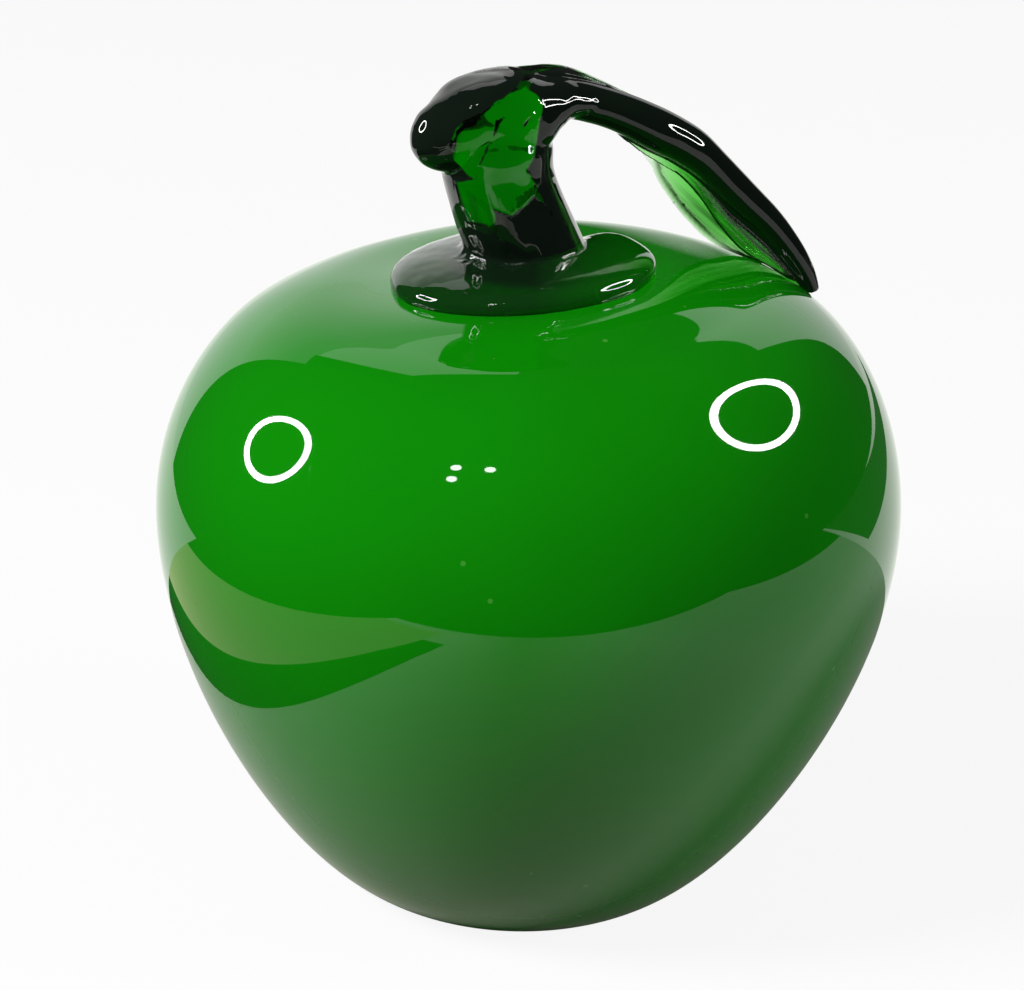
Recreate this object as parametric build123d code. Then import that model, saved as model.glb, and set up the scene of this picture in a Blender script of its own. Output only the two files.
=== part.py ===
from build123d import *
import math
import os

# An apple of hot-worked glass: a hollow cased body, a pooled pad that seals the blowpipe hole in
# its top, a stem drawn up from the pad, and a leaf lapped over the stem and laid on the shoulder.
# Millimetres. +Z is up, the ground foot stands on z = 0 and the body's axis is the Z axis. The
# front of the apple faces -Y, and the leaf points to +X and a little to the back.

# Body, outer surface. A pull is how far a wall keeps its direction before it bends away.
BODY_DIAMETER = 108.0
BODY_HEIGHT = 91.4
EQUATOR_HEIGHT = 57.9
FOOT_DIAMETER = 48.0
FOOT_ANGLE = 23.0
FOOT_PULL = 13.0
BELLY_PULL = 23.0
SHOULDER_PULL = 16.0
CREST_PULL = 19.0
CREST_DIAMETER = 51.0
DIMPLE_DEPTH = 3.0
NECK_DIAMETER = 14.0

# Walls of the two layers, and the dish ground into the foot
CASING_WALL = 3.4
LINING_WALL = 2.2
PONTIL_DIAMETER = 24.0
PONTIL_DEPTH = 1.0

# Pad: a pooled disc that sits a little to one side and leans towards -X
PAD_DIAMETER = 37.4
PAD_LIP = 3.4
PAD_CROWN = 3.2
PAD_RISE = 1.7
PAD_TILT = 2.5
PAD_SHIFT = -1.6
PLUG_DROP = 1.4
PLUG_ROUND = 2.0

# Stem: a short column that leans back towards the leaf's heel
STEM_FOOT_DIAMETER = 17.6
STEM_WAIST_DIAMETER = 16.6
STEM_TOP_DIAMETER = 14.0
STEM_SHIFT = -1.0
STEM_LEAN = 5.2

# Leaf: one bit of glass with a rounded heel, a thick head over the stem and two folded blades
LEAF_AZIMUTH = 20.0
LEAF_REACH = 43.5
LEAF_RISE = 26.8
LEAF_DROOP = 2.4
TIP_SINK = 0.6
HEEL_REACH = 18.4
HEEL_DROP = 5.2
HEAD_THICKNESS = 13.2
HEAD_WIDTH = 15.0
HEAD_CENTRE = -6.0
RIB_START = 16.0
RIB_THICKNESS = 4.2
RIB_WIDTH = 5.0
BLADE_ROOT = 4.0
BLADE_WIDEST = 20.0
TIP_SHARE = 0.3
BLADE_THICKNESS = 2.6
NEAR_BLADE = 7.5
NEAR_DROOP = 48.0
FAR_BLADE = 10.5
FAR_DROOP = 62.0


def point(radius, height):
    """A point of a turned profile, in the XZ plane."""
    return (radius, 0, height)


def foot_point(inset):
    """Outer end of the flat foot of the surface that lies inset inside the body's skin."""
    return FOOT_DIAMETER / 2 - inset * math.tan(math.radians(FOOT_ANGLE / 2)), inset


def shoulder_points(inset):
    """Bezier points of the shoulder, from the equator up to the crest."""
    radius = BODY_DIAMETER / 2 - inset
    crest = BODY_HEIGHT - inset
    return [
        (radius, EQUATOR_HEIGHT),
        (radius, EQUATOR_HEIGHT + SHOULDER_PULL),
        (CREST_DIAMETER / 2 + CREST_PULL, crest),
        (CREST_DIAMETER / 2, crest),
    ]


def skin(inset):
    """Edges of the skin from the foot's rim, round the belly and the crest, to the neck."""
    foot_radius, foot_height = foot_point(inset)
    radius = BODY_DIAMETER / 2 - inset
    crest = BODY_HEIGHT - inset
    slope = math.radians(FOOT_ANGLE)
    belly = Bezier(
        point(foot_radius, foot_height),
        point(foot_radius + FOOT_PULL * math.cos(slope), foot_height + FOOT_PULL * math.sin(slope)),
        point(radius, EQUATOR_HEIGHT - BELLY_PULL),
        point(radius, EQUATOR_HEIGHT),
    )
    shoulder = Bezier(*[point(r, z) for r, z in shoulder_points(inset)])
    middle = (CREST_DIAMETER + NECK_DIAMETER) / 4
    dimple = Bezier(
        point(CREST_DIAMETER / 2, crest),
        point(middle, crest),
        point(middle, crest - DIMPLE_DEPTH),
        point(NECK_DIAMETER / 2, crest - DIMPLE_DEPTH),
    )
    return [belly, shoulder, dimple]


def turned(edges):
    """Solid turned round the Z axis from a closed chain of edges."""
    return revolve(make_face(edges), Axis.Z)


def shell(outer, inner):
    """Layer of glass between two skins, open at the neck."""
    neck = NECK_DIAMETER / 2
    edges = skin(outer) + skin(inner)
    edges.append(Line(point(0, outer), point(*foot_point(outer))))
    edges.append(Line(point(0, inner), point(*foot_point(inner))))
    edges.append(Line(point(0, outer), point(0, inner)))
    top = BODY_HEIGHT - DIMPLE_DEPTH
    edges.append(Line(point(neck, top - outer), point(neck, top - inner)))
    return turned(edges)


def filled_body():
    """The body as if it were solid, used to seat the pieces that lie on it."""
    top = BODY_HEIGHT - DIMPLE_DEPTH
    edges = skin(0)
    edges.append(Line(point(0, 0), point(*foot_point(0))))
    edges.append(Line(point(0, 0), point(0, top)))
    edges.append(Line(point(0, top), point(NECK_DIAMETER / 2, top)))
    return turned(edges)


def shoulder_height(radius):
    """Height of the shoulder at a distance from the axis, found by halving."""
    (r0, z0), (r1, z1), (r2, z2), (r3, z3) = shoulder_points(0)

    def blend(t, a, b, c, d):
        u = 1 - t
        return u**3 * a + 3 * u * u * t * b + 3 * u * t * t * c + t**3 * d

    low, high = 0.0, 1.0
    for _ in range(40):
        half = (low + high) / 2
        if blend(half, r0, r1, r2, r3) > radius:
            low = half
        else:
            high = half
    return blend(low, z0, z1, z2, z3)


def casing():
    """Green outer layer, with a shallow dish ground into its foot."""
    dish_radius = (PONTIL_DIAMETER**2 / 4 + PONTIL_DEPTH**2) / (2 * PONTIL_DEPTH)
    dish = Pos(0, 0, PONTIL_DEPTH - dish_radius) * Sphere(dish_radius)
    return shell(0, CASING_WALL) - dish


def lining():
    """Opal inner layer."""
    return shell(CASING_WALL, CASING_WALL + LINING_WALL)


def pad(body):
    """Pooled disc with a round lip, a low crown, and a plug that fills the neck."""
    rim = PAD_DIAMETER / 2
    depth = PAD_RISE + DIMPLE_DEPTH + PAD_LIP
    round_height = PAD_LIP / 2
    inner = rim - round_height
    corner = round_height * (1 - math.sqrt(0.5))
    edges = [
        Line(point(0, PAD_CROWN), point(0, -depth)),
        Line(point(0, -depth), point(rim, -depth)),
        Line(point(rim, -depth), point(rim, 0)),
        ThreePointArc(point(rim, 0), point(rim - corner, round_height - corner), point(inner, round_height)),
        Bezier(
            point(inner, round_height),
            point(rim * 2 / 3, round_height),
            point(rim / 2, PAD_CROWN),
            point(0, PAD_CROWN),
        ),
    ]
    place = Pos(PAD_SHIFT, 0, BODY_HEIGHT + PAD_RISE) * Rot(0, -PAD_TILT, 0)
    disc = place * turned(edges) - body
    top = BODY_HEIGHT - DIMPLE_DEPTH
    length = CASING_WALL + LINING_WALL + PLUG_DROP
    plug = Pos(0, 0, top - length / 2) * Cylinder(NECK_DIAMETER / 2, length)
    plug = fillet(plug.edges().sort_by(Axis.Z)[0], PLUG_ROUND)
    return disc + plug


def ease(value, start, end):
    """0 before start, 1 after end, smooth between."""
    t = min(max((value - start) / (end - start), 0.0), 1.0)
    return t * t * (3 - 2 * t)


def taper(value, start, end):
    """1 before start, falling to 0 at end as an ellipse does."""
    t = min(max((value - start) / (end - start), 0.0), 1.0)
    return math.sqrt(1 - t * t)


def leaf_height(s):
    """Height of the leaf's middle line at a distance s along its direction."""
    root = BODY_HEIGHT + LEAF_RISE
    if s < 0:
        return root - HEEL_DROP * (1 - math.cos(math.pi * s / HEEL_REACH)) / 2
    tip = shoulder_height(LEAF_REACH) - TIP_SINK
    return root - (root - tip) * (s / LEAF_REACH) ** LEAF_DROOP


def leaf_plane(s):
    """Plane square to the leaf's middle line, with its X to the back and its Y upwards."""
    step = 0.01
    rise = (leaf_height(s + step) - leaf_height(s - step)) / (2 * step)
    return Plane(origin=(s, 0, leaf_height(s)), x_dir=(0, 1, 0), z_dir=(1, 0, rise))


def head_section(s):
    """Oval of the heel and head, slimming to the midrib."""
    slim = ease(s, HEAD_CENTRE, RIB_START)
    end = taper(-s, -HEAD_CENTRE, HEEL_REACH)
    height = HEAD_THICKNESS + (RIB_THICKNESS - HEAD_THICKNESS) * slim
    width = HEAD_WIDTH + (RIB_WIDTH - HEAD_WIDTH) * slim
    return leaf_plane(s) * Ellipse(end * width / 2, end * height / 2)


def lens(start, end, thickness):
    """Face between two arcs that meet at both ends."""
    middle = (start + end) / 2
    over = ThreePointArc((start, 0), (middle, thickness / 2), (end, 0))
    under = ThreePointArc((start, 0), (middle, -thickness / 2), (end, 0))
    return make_face([over, under])


def rib_section(s):
    """Lens of the midrib, narrowing to the tip."""
    share = 1 - (1 - TIP_SHARE) * ease(s, RIB_START, LEAF_REACH)
    return leaf_plane(s) * lens(-share * RIB_WIDTH / 2, share * RIB_WIDTH / 2, share * RIB_THICKNESS)


def blade_section(s, sign, length, droop):
    """Lens of the blade on one side, hanging from the midrib to a thin rim."""
    t = (s - BLADE_WIDEST) / (LEAF_REACH - BLADE_WIDEST)
    full = 1 - (1 - TIP_SHARE) * t * t
    angle = sign * droop * ease(s, BLADE_ROOT - RIB_START, RIB_START)
    face = lens(0, sign * full * length, BLADE_THICKNESS * math.sqrt(full))
    return leaf_plane(s) * Rot(0, 0, -angle) * face


def stations(start, end, count):
    """Evenly spaced distances from start to end."""
    return [start + (end - start) * i / count for i in range(count + 1)]


def leaf_blank():
    """Heel, head, midrib and two blades as one bit of glass, in the leaf's own direction."""
    heel_length = HEEL_REACH + HEAD_CENTRE
    heel = [HEAD_CENTRE - heel_length * math.cos(math.radians(a)) for a in (8, 30, 50, 70)]
    head = loft([head_section(s) for s in heel + stations(HEAD_CENTRE, RIB_START, 4)])
    rows = stations(BLADE_ROOT, LEAF_REACH, 6)
    rib = loft([rib_section(s) for s in rows])
    near = loft([blade_section(s, -1, NEAR_BLADE, NEAR_DROOP) for s in rows])
    far = loft([blade_section(s, 1, FAR_BLADE, FAR_DROOP) for s in rows])
    return head + rib + near + far


def stem_column():
    """Leaning column, from inside the pad to the middle of the leaf's head."""
    low = BODY_HEIGHT + PAD_RISE
    high = leaf_height(HEAD_CENTRE)
    rings = []
    for share, diameter in ((0.0, STEM_FOOT_DIAMETER), (0.4, STEM_WAIST_DIAMETER), (1.0, STEM_TOP_DIAMETER)):
        spot = Pos(STEM_SHIFT - share * STEM_LEAN, 0, low + share * (high - low))
        rings.append(spot * Circle(diameter / 2))
    return loft(rings)


os.makedirs("parts", exist_ok=True)
turn = Rot(0, 0, LEAF_AZIMUTH)
body = filled_body()
pad_solid = pad(body)
leaf_solid = turn * (leaf_blank() - body)
stem_solid = turn * stem_column() - pad_solid - leaf_solid
export_step(casing(), "parts/green_casing.step")
export_step(lining(), "parts/opal_lining.step")
export_step(pad_solid, "parts/stem_pad.step")
export_step(stem_solid, "parts/stem.step")
export_step(leaf_solid, "parts/leaf.step")
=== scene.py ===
"""Looks of an art glass apple: a green cased body with a pad, stem and leaf of dark green glass."""

import math
from collections import namedtuple

import bmesh
import bpy
from mathutils import Matrix, Vector, kdtree, noise


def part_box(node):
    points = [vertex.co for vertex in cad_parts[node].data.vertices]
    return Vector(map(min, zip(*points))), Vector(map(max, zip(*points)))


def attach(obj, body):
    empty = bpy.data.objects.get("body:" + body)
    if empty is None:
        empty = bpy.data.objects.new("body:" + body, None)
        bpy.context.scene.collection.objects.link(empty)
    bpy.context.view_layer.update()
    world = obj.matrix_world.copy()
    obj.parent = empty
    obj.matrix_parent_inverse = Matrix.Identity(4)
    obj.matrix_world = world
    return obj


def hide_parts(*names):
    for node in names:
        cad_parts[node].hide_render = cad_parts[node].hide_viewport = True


bl_info = {
    "name": "Art Glass Apple",
    "version": (1, 0, 0),
    "blender": (4, 5, 0),
    "location": "View3D > Sidebar > Glass Apple",
    "description": "Hollow green glass apple with a pad, stem and leaf of dark green glass",
    "category": "Object",
}

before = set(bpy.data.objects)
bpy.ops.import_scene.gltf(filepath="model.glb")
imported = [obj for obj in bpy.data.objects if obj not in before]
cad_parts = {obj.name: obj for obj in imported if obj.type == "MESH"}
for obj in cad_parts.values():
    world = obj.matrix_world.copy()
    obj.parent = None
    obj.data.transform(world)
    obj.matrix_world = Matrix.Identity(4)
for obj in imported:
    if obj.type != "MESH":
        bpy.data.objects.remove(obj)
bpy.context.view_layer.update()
MM = 0.001
FAR = 1.0
WHITE = (1, 1, 1, 1)
GLASS_IOR = 1.5
FINE_RELIEF = 0.0004
CASING_LOW, CASING_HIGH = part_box("green_casing")
BODY_RADIUS = (CASING_HIGH[1] - CASING_LOW[1]) / 2
BODY_TOP = CASING_HIGH[2]
TOP = Vector((0, 0, BODY_TOP))

# How far the roll, as a share of its radius, and the near blade, in millimetres, lie in front of
# the leaf's middle line
ROLL_FORWARD = 0.4
FLAP_FORWARD = 0.6

# Joints, in millimetres: half the gap, height of the stem's foot above the body's top, then place,
# height, slope and end of the lap of leaf over stem, and how far the pad and the stem reach along
# the leaf's direction
JOINT_GAP = 0.01
FOOT_HEIGHT = 6.7
LAP_PLACE = -5.6
LAP_HEIGHT = 18.1
LAP_SLOPE = 0.19
LAP_END = 6
PAD_REACH = 24
STEM_REACH = 8.5

# Levels under which the leaf is cut off, with the stretch along the leaf where each holds
LEAF_FLOORS = ((11.6, -1000, 12), (6.5, 11, 20.5))

# Head of the leaf, in millimetres along the leaf's direction: place, height of its middle above
# the body's top, half height, half width and squareness of its section
HEAD_STATIONS = [
    (-18.0, 22.3, 0.5, 0.5, 2.0),
    (-17.6, 22.3, 2.2, 2.1, 2.0),
    (-16.2, 22.4, 3.9, 3.8, 2.0),
    (-13.9, 22.7, 5.0, 5.2, 2.1),
    (-11.6, 23.3, 5.6, 6.0, 2.5),
    (-8.8, 24.3, 6.2, 6.7, 3.0),
    (-5.2, 24.9, 6.3, 7.2, 3.2),
    (-1.4, 25.9, 5.6, 6.8, 2.8),
    (1.6, 26.7, 3.8, 5.8, 2.4),
    (4.0, 27.0, 3.0, 5.0, 2.2),
    (9.0, 26.2, 1.8, 3.4, 2.0),
    (12.0, 25.2, 0.7, 2.0, 2.0),
]

# Leaf: place and height of its ridge, depth of the near roll below it and the roll's radius, then
# thickness, length and fold in degrees of the far blade
LEAF_STATIONS = [
    (-3.0, 31.4, 1.6, 4.0, 2.6, 4.0, 0),
    (4.0, 30.9, 1.0, 3.0, 2.6, 5.6, -4),
    (10.0, 28.9, 0.6, 2.8, 1.8, 6.6, 10),
    (15.0, 26.5, 0.2, 2.9, 0.9, 8.0, 46),
    (19.5, 24.1, 0.0, 3.1, 0.8, 9.6, 88),
    (23.0, 22.0, 0.0, 3.0, 1.1, 10.8, 106),
    (25.5, 20.1, 0.0, 2.9, 1.8, 11.0, 110),
    (28.5, 17.0, 0.0, 2.6, 3.2, 11.4, 112),
    (33.0, 12.3, 0.0, 2.5, 4.4, 11.4, 112),
    (37.6, 7.4, 0.0, 2.2, 4.6, 10.6, 110),
    (41.2, 2.5, 0.0, 1.9, 3.4, 8.0, 98),
    (43.4, -1.5, 0.0, 1.5, 2.2, 5.0, 75),
    (44.6, -5.0, 0.0, 1.0, 1.6, 1.6, 30),
]

# Short near blade under the roll: place, height of its top and of its lower edge, and thickness
FLAP_STATIONS = [
    (10.5, 24.4, 22.8, 0.7),
    (12.1, 23.4, 20.8, 0.7),
    (14.1, 22.2, 19.2, 0.7),
    (16.3, 20.9, 17.5, 0.7),
    (19.1, 19.2, 15.7, 0.7),
    (22.0, 17.2, 13.7, 0.9),
    (25.2, 14.2, 10.1, 1.2),
    (28.0, 11.4, 6.1, 1.4),
    (31.8, 7.6, 2.0, 1.6),
    (36.7, 2.6, -1.2, 1.6),
    (41.5, -2.4, -4.6, 1.4),
]

# Stem: height above the body's top, place along the leaf's direction and radius
STEM_STATIONS = [
    (2.6, -0.9, 9.3),
    (4.9, -1.2, 8.9),
    (6.4, -1.5, 8.6),
    (9.2, -2.7, 8.5),
    (13.6, -4.4, 8.15),
    (17.6, -5.6, 7.9),
    (21.6, -5.9, 7.9),
    (25.0, -6.2, 6.2),
]

# Clear window in the stem and the head as seen from the front, where the painted darkness of thick glass
# and of shade seen through it is left off, and a streaked patch below it where that painted darkness is
# laid on only in part: sideways place and height above the body's top in millimetres
WINDOW = [
    (0.1, 32.1), (-0.3, 30.9), (-0.8, 30.2), (0.2, 28.8), (0.7, 28.0), (0.2, 26.0), (0.2, 24.7),
    (-0.1, 22.3), (-0.5, 20.4), (-1.2, 19.4), (0.0, 16.9), (0.0, 15.8), (-1.7, 14.2), (-3.1, 13.2),
    (-4.3, 13.7), (-5.8, 14.6), (-8.4, 15.6), (-10.5, 17.2), (-8.5, 18.1), (-11.1, 20.8),
    (-11.8, 23.4), (-11.1, 25.0), (-9.9, 26.4), (-7.2, 27.3), (-5.2, 29.1), (-3.6, 30.3), (-1.4, 31.7),
]
STREAKS = [
    (-10.8, 17.2), (-10.4, 13.7), (-9.2, 11.4), (-6.6, 11.6), (-5.1, 10.0), (-5.4, 13.2),
    (-6.8, 15.7), (-8.9, 17.6),
]

# Thin clear line through the painted darkness down the stem's side
CLEAR_LINE = [(0.4, 15.5), (1.6, 13.9), (2.6, 12.2), (1.6, 13.9)]

# Dark folds drawn inside the window
FOLD_LINES = [
    ((-5.2, 23.8), (-6.5, 23.0)), ((-6.5, 23.0), (-7.8, 20.0)), ((-7.8, 20.0), (-8.2, 18.1)),
    ((-1.2, 19.4), (0.0, 16.8)), ((-0.2, 27.4), (-1.6, 25.6)),
]


class AppleShape(bpy.types.PropertyGroup):
    """Skin of the body and the small unevenness of a hand-made piece."""

    equator: bpy.props.FloatProperty(
        name="Equator", description="Height of the widest ring", default=57.9 * MM, unit="LENGTH")
    foot_radius: bpy.props.FloatProperty(
        name="Foot radius", description="Radius of the ground foot",
        default=24.0 * MM, unit="LENGTH")
    foot_angle: bpy.props.FloatProperty(
        name="Foot angle", description="Slope of the wall at the foot",
        default=math.radians(23), subtype="ANGLE")
    foot_pull: bpy.props.FloatProperty(
        name="Foot pull", description="Straightness of the wall at the foot",
        default=13.0 * MM, unit="LENGTH")
    belly_pull: bpy.props.FloatProperty(
        name="Belly pull", description="Straightness below the equator",
        default=23.0 * MM, unit="LENGTH")
    shoulder_pull: bpy.props.FloatProperty(
        name="Shoulder pull", description="Straightness above the equator",
        default=16.0 * MM, unit="LENGTH")
    crest_pull: bpy.props.FloatProperty(
        name="Crest pull", description="Flatness outside the crest",
        default=19.0 * MM, unit="LENGTH")
    crest_radius: bpy.props.FloatProperty(
        name="Crest radius", description="Radius at the shoulder's end",
        default=25.5 * MM, unit="LENGTH")
    crown_rise: bpy.props.FloatProperty(
        name="Crown rise", description="Rise of the top under the pad",
        default=1.3 * MM, unit="LENGTH")
    crown_lean: bpy.props.FloatProperty(
        name="Crown lean", description="Extra rise of the crown to the front right",
        default=2.0 * MM, unit="LENGTH")
    dish_radius: bpy.props.FloatProperty(
        name="Dish radius", description="Radius of the dish in the foot",
        default=12.0 * MM, unit="LENGTH")
    dish_depth: bpy.props.FloatProperty(
        name="Dish depth", description="Depth of the dish in the foot",
        default=1.0 * MM, unit="LENGTH")
    shoulder_lean: bpy.props.FloatProperty(
        name="Shoulder lean", description="Rise of the shoulder on the leaf's side",
        default=1.3 * MM, unit="LENGTH")
    low_side: bpy.props.FloatProperty(
        name="Low side", description="Drop of the shoulder at the back left",
        default=0.6 * MM, unit="LENGTH")
    base_shift: bpy.props.FloatProperty(
        name="Base shift", description="Sideways shift of the lower body",
        default=-0.6 * MM, unit="LENGTH")


class DarkGlass(bpy.types.PropertyGroup):
    """Pad, stem and leaf."""

    azimuth: bpy.props.FloatProperty(
        name="Leaf azimuth", description="Direction of the leaf",
        default=math.radians(20), subtype="ANGLE")
    pad_radius: bpy.props.FloatProperty(
        name="Pad radius", description="Radius of the pooled pad", default=18.7 * MM, unit="LENGTH")
    pad_shift: bpy.props.FloatProperty(
        name="Pad shift", description="Sideways place of the pad", default=-1.6 * MM, unit="LENGTH")
    pad_tilt: bpy.props.FloatProperty(
        name="Pad tilt", description="Lean of the joint on the pad",
        default=math.radians(4), subtype="ANGLE")
    voxel: bpy.props.FloatProperty(
        name="Melt size", description="Grid size at which the bits melt together",
        default=0.25 * MM, unit="LENGTH")
    absorb: bpy.props.FloatVectorProperty(
        name="Glass tint", description="Colour that the glass lets through",
        default=(0.16, 0.83, 0.02), size=3, subtype="COLOR")
    density: bpy.props.FloatProperty(
        name="Density", description="Strength of the tint per metre", default=720.0)


class StageLook(bpy.types.PropertyGroup):
    """Camera and the soft light from all round."""

    distance: bpy.props.FloatProperty(
        name="Camera distance", description="From the aim point", default=0.45, unit="LENGTH")
    elevation: bpy.props.FloatProperty(
        name="Camera elevation", description="Angle above the table",
        default=math.radians(23), subtype="ANGLE")
    roll: bpy.props.FloatProperty(
        name="Camera roll", description="Lean of the picture", default=-0.018, subtype="ANGLE")
    aim: bpy.props.FloatVectorProperty(
        name="Aim", description="Point at the middle of the picture",
        default=(-2.4 * MM, 0.0, 58.9 * MM), size=3, subtype="TRANSLATION")
    lens: bpy.props.FloatProperty(
        name="Lens", description="Focal length in millimetres", default=108.65)
    ambient: bpy.props.FloatProperty(
        name="Ambient", description="Soft light from all round", default=0.15)


class Value:
    """A node socket that takes part in sums."""

    def __init__(self, tree, socket):
        self.tree = tree
        self.socket = socket

    def feed(self, slot):
        self.tree.links.new(self.socket, slot)

    def _math(self, operation, first, second):
        node = self.tree.nodes.new("ShaderNodeMath")
        node.operation = operation
        for slot, item in zip(node.inputs, (first, second)):
            set_socket(slot, item)
        return Value(self.tree, node.outputs[0])

    def __add__(self, other):
        return self._math("ADD", self, other)

    def __radd__(self, other):
        return self._math("ADD", other, self)

    def __sub__(self, other):
        return self._math("SUBTRACT", self, other)

    def __rsub__(self, other):
        return self._math("SUBTRACT", other, self)

    def __mul__(self, other):
        return self._math("MULTIPLY", self, other)

    def __rmul__(self, other):
        return self._math("MULTIPLY", other, self)

    def __gt__(self, other):
        return self._math("GREATER_THAN", self, other)

    def __lt__(self, other):
        return self._math("LESS_THAN", self, other)


def set_socket(slot, item):
    """Link a value to a socket, or set it to a plain number or colour."""
    if isinstance(item, Value):
        item.feed(slot)
    else:
        slot.default_value = item


class Shader:
    """Builds the nodes of one material or world."""

    def __init__(self, owner):
        owner.use_nodes = True
        self.tree = owner.node_tree
        self.tree.nodes.clear()

    def node(self, kind, sockets=None, output=0, **settings):
        """One output of a new node: its settings are set first, then its sockets by name or place."""
        made = self.tree.nodes.new(kind)
        for key, item in settings.items():
            setattr(made, key, item)
        for key, item in (sockets or {}).items():
            set_socket(made.inputs[key], item)
        return Value(self.tree, made.outputs[output]) if made.outputs else None

    def place(self):
        """Place in the object's own frame."""
        return self.node("ShaderNodeTexCoord", None, "Object")

    def axis(self, letter):
        """One coordinate of that place."""
        return self.node("ShaderNodeSeparateXYZ", {"Vector": self.place()}, letter)

    def noise(self, place, scale, detail):
        return self.node("ShaderNodeTexNoise", {"Vector": place, "Scale": scale, "Detail": detail}, "Fac")

    def attribute(self, name):
        """Mark on the mesh."""
        return self.node("ShaderNodeAttribute", None, "Fac", attribute_name=name)

    def ramp(self, value, start, end, **settings):
        """0 to 1 while a value goes from start to end."""
        sockets = {"Value": value, "From Min": start, "From Max": end}
        return self.node("ShaderNodeMapRange", sockets, "Result", **settings)

    def seen_by(self, first, *others):
        """1 where a ray of one of these kinds looks, else 0."""
        total = self.node("ShaderNodeLightPath", None, "Is %s Ray" % first)
        for kind in others:
            total = total + self.node("ShaderNodeLightPath", None, "Is %s Ray" % kind)
        return total > 0.5

    def mix(self, factor, first, second):
        """Blend of two colours."""
        return self.node("ShaderNodeMix", {0: factor, 6: first, 7: second}, 2, data_type="RGBA")

    def blend(self, factor, first, second):
        """Blend of two shaders."""
        return self.node("ShaderNodeMixShader", {0: factor, 1: first, 2: second})

    def end(self, surface, **volume):
        """Output of a material."""
        self.node("ShaderNodeOutputMaterial", {"Surface": surface, **volume})


def new_material(name):
    """A material and the builder of its nodes."""
    mat = bpy.data.materials.new(name)
    return mat, Shader(mat)


def rgba(colour):
    """Colour with full alpha."""
    return (colour[0], colour[1], colour[2], 1.0)


def bezier(points, count):
    """Points along a cubic curve, its last end left out."""
    (r0, z0), (r1, z1), (r2, z2), (r3, z3) = points
    row = []
    for i in range(count):
        t = i / count
        u = 1 - t
        w = (u**3, 3 * u * u * t, 3 * u * t * t, t**3)
        radius = w[0] * r0 + w[1] * r1 + w[2] * r2 + w[3] * r3
        height = w[0] * z0 + w[1] * z1 + w[2] * z2 + w[3] * z3
        row.append((radius, height))
    return row


def smoothstep(value, start, end):
    """0 before start, 1 after end and smooth between them."""
    t = min(max((value - start) / (end - start), 0.0), 1.0)
    return t * t * (3 - 2 * t)


def bell(value, middle, width):
    """Bell curve that is 1 at its middle."""
    return math.exp(-((value - middle) / width) ** 2)


def turns(count):
    """Angles of the points of a ring."""
    return [2 * math.pi * i / count for i in range(count)]


def between(t, p, q, r, s):
    """Number on a smooth curve from q to r, with p before them and s after them."""
    square = 2 * p - 5 * q + 4 * r - s
    cube = 3 * q - p - 3 * r + s
    return 0.5 * (2 * q + (r - p) * t + square * t * t + cube * t**3)


def through(stations, count):
    """Rows of numbers on a smooth curve through the stations, count rows per span."""
    rows = []
    last = len(stations) - 1
    for i in range(last):
        span = [stations[min(max(k, 0), last)] for k in (i - 1, i, i + 1, i + 2)]
        for step in range(count):
            rows.append([between(step / count, *numbers) for numbers in zip(*span)])
    rows.append(list(stations[last]))
    return rows


def add_object(name, data):
    """Object that shows a mesh or a lamp."""
    obj = bpy.data.objects.new(name, data)
    bpy.context.collection.objects.link(obj)
    return obj


def smooth(mesh):
    mesh.polygons.foreach_set("use_smooth", [True] * len(mesh.polygons))


def new_object(name, verts, faces):
    """Object with a new mesh, flat shaded."""
    mesh = bpy.data.meshes.new(name)
    mesh.from_pydata([tuple(v) for v in verts], [], faces)
    mesh.validate()
    return add_object(name, mesh)


def skin_rings(rings):
    """Closed skin over rings of equal count, with a middle point on each end ring."""
    verts = [v for ring in rings for v in ring]
    faces = []
    count = len(rings[0])
    for k in range(len(rings) - 1):
        for i in range(count):
            j = (i + 1) % count
            faces.append((k * count + i, k * count + j, (k + 1) * count + j, (k + 1) * count + i))
    for k, flip in ((0, True), (len(rings) - 1, False)):
        middle = sum(rings[k], Vector()) / count
        verts.append(middle)
        hub = len(verts) - 1
        for i in range(count):
            j = (i + 1) % count
            face = (k * count + i, k * count + j, hub)
            faces.append(face[::-1] if flip else face)
    return verts, faces


def uneven(point, shape):
    """Hand-made unevenness of the body.

    The shoulder rises on the leaf's side, the crown tilts to the front right, the shoulder is lower
    at the back left, and the lower body sits to one side.
    """
    x, y, z = point
    high = smoothstep(z, shape.equator * 0.85, BODY_TOP)
    crown = 1 - smoothstep(math.hypot(x, y), 19 * MM, 31 * MM)
    low_side = smoothstep(-x, 4 * MM, 24 * MM) * smoothstep(y, 0, 22 * MM)
    low_side *= smoothstep(z, BODY_TOP - 8 * MM, BODY_TOP - 2 * MM)
    z += (shape.shoulder_lean + shape.crown_lean * crown) * (x / BODY_RADIUS) * high
    z -= (shape.crown_lean * crown * (y / BODY_RADIUS) + shape.low_side * low_side) * high
    x += shape.base_shift * (1 - smoothstep(z, 0.0, shape.equator))
    return Vector((x, y, z))


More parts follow.
